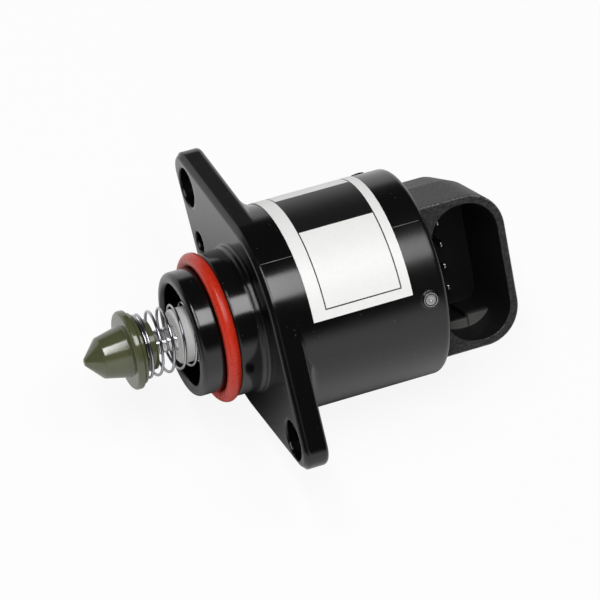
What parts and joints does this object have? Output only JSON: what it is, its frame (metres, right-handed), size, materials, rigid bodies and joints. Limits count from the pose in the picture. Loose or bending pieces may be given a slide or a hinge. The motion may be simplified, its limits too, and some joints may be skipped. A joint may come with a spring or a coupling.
{
  "type": "idle air control valve",
  "caption": "Two-hole flanged idle air control valve: a stepper motor in a round cup drives a spring-loaded pintle out of a sealed nose.",
  "frame": {"origin": "on the valve axis, in the flange's mounting face", "axes": "-X along the valve axis towards the pintle's tip, +Y towards one flange lobe, +Z across the flange on the connector mouth's side"},
  "size_m": [0.0672, 0.0569, 0.0329],
  "materials": {
    "housing_black": "gloss",
    "cover_black": "matte",
    "seal_red": "satin",
    "seal_black": "matte",
    "pintle_olive": "satin",
    "bright_steel": "polished",
    "sleeve_grey": "satin",
    "cage_brass": "satin",
    "bush_brass": "satin",
    "rotor_nylon": "satin",
    "magnet_ferrite": "matte",
    "stator_steel": "satin",
    "winding_enamel": "gloss",
    "terminal_tin": "satin",
    "label_paper": "satin"
  },
  "bodies": {
    "housing": {"valve_body": "housing_black", "rear_cover": "cover_black", "o_ring": "seal_red", "cover_seal": "seal_black", "pintle_spring": "bright_steel", "guide_sleeve": "sleeve_grey", "bearing_outer_race": "bright_steel", "rear_bush": "bush_brass", "thrust_washer": "rotor_nylon", "front_stator_cup": "stator_steel", "front_stator_plate": "stator_steel", "rear_stator_plate": "stator_steel", "rear_stator_cup": "stator_steel", "front_bobbin": "rotor_nylon", "rear_bobbin": "rotor_nylon", "front_winding": "winding_enamel", "rear_winding": "winding_enamel", "label": "label_paper", "terminal_1": "terminal_tin", "terminal_2": "terminal_tin", "terminal_3": "terminal_tin", "terminal_4": "terminal_tin", "retaining_pin_1": "bright_steel", "retaining_pin_2": "bright_steel", "retaining_pin_3": "bright_steel"},
    "rotor": {"rotor_hub": "rotor_nylon", "rotor_magnet": "magnet_ferrite", "bearing_inner_race": "bright_steel"},
    "cage": {"bearing_cage": "cage_brass", "bearing_balls": "bright_steel"},
    "pintle": {"pintle": "pintle_olive", "lead_screw": "bright_steel"}
  },
  "joints": [
    {"name": "rotor_spin", "type": "hinge", "parent": "housing", "child": "rotor", "pos_m": [0, 0, 0], "axis": [1, 0, 0], "range_deg": [-1080, 2340]},
    {"name": "cage_spin", "type": "hinge", "parent": "housing", "child": "cage", "pos_m": [0, 0, 0], "axis": [1, 0, 0], "range_deg": [-451, 976]},
    {"name": "pintle_slide", "type": "slide", "parent": "housing", "child": "pintle", "axis": [-1, 0, 0], "range_m": [-0.003, 0.0065], "deforming": ["pintle_spring"]}
  ],
  "couplings": [
    {"joint": "pintle_slide", "follows": "rotor_spin", "m_per_rad": 0.000159},
    {"joint": "cage_spin", "follows": "rotor_spin", "ratio": 0.4167}
  ]
}
